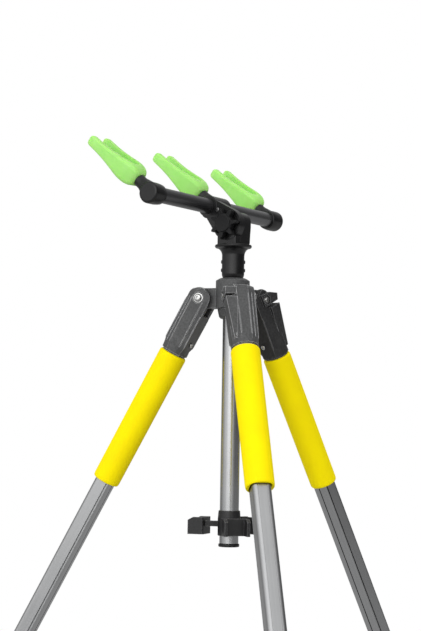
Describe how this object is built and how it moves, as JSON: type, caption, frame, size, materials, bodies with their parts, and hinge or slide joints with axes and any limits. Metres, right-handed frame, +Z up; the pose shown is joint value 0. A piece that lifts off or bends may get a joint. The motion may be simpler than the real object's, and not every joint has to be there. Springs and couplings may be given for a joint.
{
  "type": "surf rod tripod",
  "caption": "Folding tripod stand with telescoping legs, foam grips and a tilting crossbar that carries soft U-shaped rod rests.",
  "frame": {"origin": "on the ground, under the middle of the open stand's bounding box", "axes": "+Z up; -Y towards the front leg; +X to the right of someone facing the front leg"},
  "size_m": [0.8654, 0.7528, 0.9953],
  "materials": {
    "grey_nylon": "moulded, satin",
    "black_nylon": "moulded, fine satin",
    "white_nylon": "moulded, natural",
    "leg_aluminium": "satin anodised extrusion",
    "bar_aluminium": "dark anodised",
    "plated_steel": "zinc plated",
    "yellow_foam": "closed-cell foam, matte",
    "green_rubber": "soft moulded rubber",
    "black_rubber": "moulded rubber"
  },
  "bodies": {
    "hub": {"hub": "grey_nylon", "collet_bush": "white_nylon"},
    "column": {"centre_column": "leg_aluminium", "column_end_cap": "black_nylon", "neck_sleeve": "black_nylon", "pan_bolt": "plated_steel", "leg_clip_spider": "black_nylon", "spider_screw": "plated_steel"},
    "lock_ring": {"lock_ring": "grey_nylon"},
    "yoke": {"tilt_yoke": "black_nylon", "tilt_bolt": "plated_steel", "tilt_washer": "plated_steel"},
    "tilt_head": {"tilt_casting": "black_nylon", "head_screw": "plated_steel", "bar_screw_left": "plated_steel", "bar_screw_right": "plated_steel", "bar_tube_left": "bar_aluminium", "bar_tube_right": "bar_aluminium", "end_elbow_left": "black_nylon", "end_elbow_right": "black_nylon", "rod_rest_left": "green_rubber", "rod_rest_middle": "green_rubber", "rod_rest_right": "green_rubber", "rest_stud_left": "plated_steel", "rest_stud_middle": "plated_steel", "rest_stud_right": "plated_steel"},
    "knob": {"tilt_knob": "black_nylon"},
    "leg_left": {"clevis_left": "grey_nylon", "pivot_bolt_left": "plated_steel", "pivot_nut_left": "plated_steel", "clevis_screw_left": "plated_steel", "foam_grip_left": "yellow_foam", "upper_leg_left": "leg_aluminium", "clamp_body_left": "black_nylon", "lever_pin_left": "plated_steel"},
    "lower_leg_left": {"lower_leg_left": "leg_aluminium", "foot_left": "black_rubber"},
    "lever_left": {"clamp_lever_left": "black_nylon"},
    "leg_front": {"clevis_front": "grey_nylon", "pivot_bolt_front": "plated_steel", "pivot_nut_front": "plated_steel", "clevis_screw_front": "plated_steel", "foam_grip_front": "yellow_foam", "upper_leg_front": "leg_aluminium", "clamp_body_front": "black_nylon", "lever_pin_front": "plated_steel"},
    "lower_leg_front": {"lower_leg_front": "leg_aluminium", "foot_front": "black_rubber"},
    "lever_front": {"clamp_lever_front": "black_nylon"},
    "leg_right": {"clevis_right": "grey_nylon", "pivot_bolt_right": "plated_steel", "pivot_nut_right": "plated_steel", "clevis_screw_right": "plated_steel", "foam_grip_right": "yellow_foam", "upper_leg_right": "leg_aluminium", "clamp_body_right": "black_nylon", "lever_pin_right": "plated_steel"},
    "lower_leg_right": {"lower_leg_right": "leg_aluminium", "foot_right": "black_rubber"},
    "lever_right": {"clamp_lever_right": "black_nylon"}
  },
  "joints": [
    {"name": "column_height", "type": "slide", "parent": "hub", "child": "column", "axis": [0, 0, 1], "range_m": [0, 0.12]},
    {"name": "lock_ring_turn", "type": "hinge", "parent": "hub", "child": "lock_ring", "pos_m": [0, 0.11956, 0.79382], "axis": [0, 0, 1], "range_deg": [0, 120]},
    {"name": "head_pan", "type": "hinge", "parent": "column", "child": "yoke", "pos_m": [0, 0.11956, 0.86532], "axis": [0, 0, 1], "continuous": true},
    {"name": "head_tilt", "type": "hinge", "parent": "yoke", "child": "tilt_head", "pos_m": [0, 0.11956, 0.89122], "axis": [0.6921, 0.7218, 0], "range_deg": [-20, 119]},
    {"name": "knob_turn", "type": "hinge", "parent": "yoke", "child": "knob", "pos_m": [0, 0.11956, 0.89122], "axis": [-0.6921, -0.7218, 0], "continuous": true},
    {"name": "fold_left", "type": "hinge", "parent": "hub", "child": "leg_left", "pos_m": [-0.03637, 0.14056, 0.79382], "axis": [0.5, 0.866, 0], "range_deg": [-27.7, 0]},
    {"name": "extend_left", "type": "slide", "parent": "leg_left", "child": "lower_leg_left", "axis": [-0.4159, 0.2401, -0.8771], "range_m": [-0.27, 0.14]},
    {"name": "lever_left", "type": "hinge", "parent": "leg_left", "child": "lever_left", "pos_m": [-0.28103, 0.28181, 0.32259], "axis": [0.5, 0.866, 0], "range_deg": [0, 110]},
    {"name": "fold_front", "type": "hinge", "parent": "hub", "child": "leg_front", "pos_m": [0, 0.07756, 0.79382], "axis": [-1, 0, 0], "range_deg": [-27.7, 0]},
    {"name": "extend_front", "type": "slide", "parent": "leg_front", "child": "lower_leg_front", "axis": [0, -0.4802, -0.8771], "range_m": [-0.27, 0.14]},
    {"name": "lever_front", "type": "hinge", "parent": "leg_front", "child": "lever_front", "pos_m": [0, -0.20494, 0.32259], "axis": [-1, 0, 0], "range_deg": [0, 110]},
    {"name": "fold_right", "type": "hinge", "parent": "hub", "child": "leg_right", "pos_m": [0.03637, 0.14056, 0.79382], "axis": [0.5, -0.866, 0], "range_deg": [-27.7, 0]},
    {"name": "extend_right", "type": "slide", "parent": "leg_right", "child": "lower_leg_right", "axis": [0.4159, 0.2401, -0.8771], "range_m": [-0.27, 0.14]},
    {"name": "lever_right", "type": "hinge", "parent": "leg_right", "child": "lever_right", "pos_m": [0.28103, 0.28181, 0.32259], "axis": [0.5, -0.866, 0], "range_deg": [0, 110]}
  ]
}
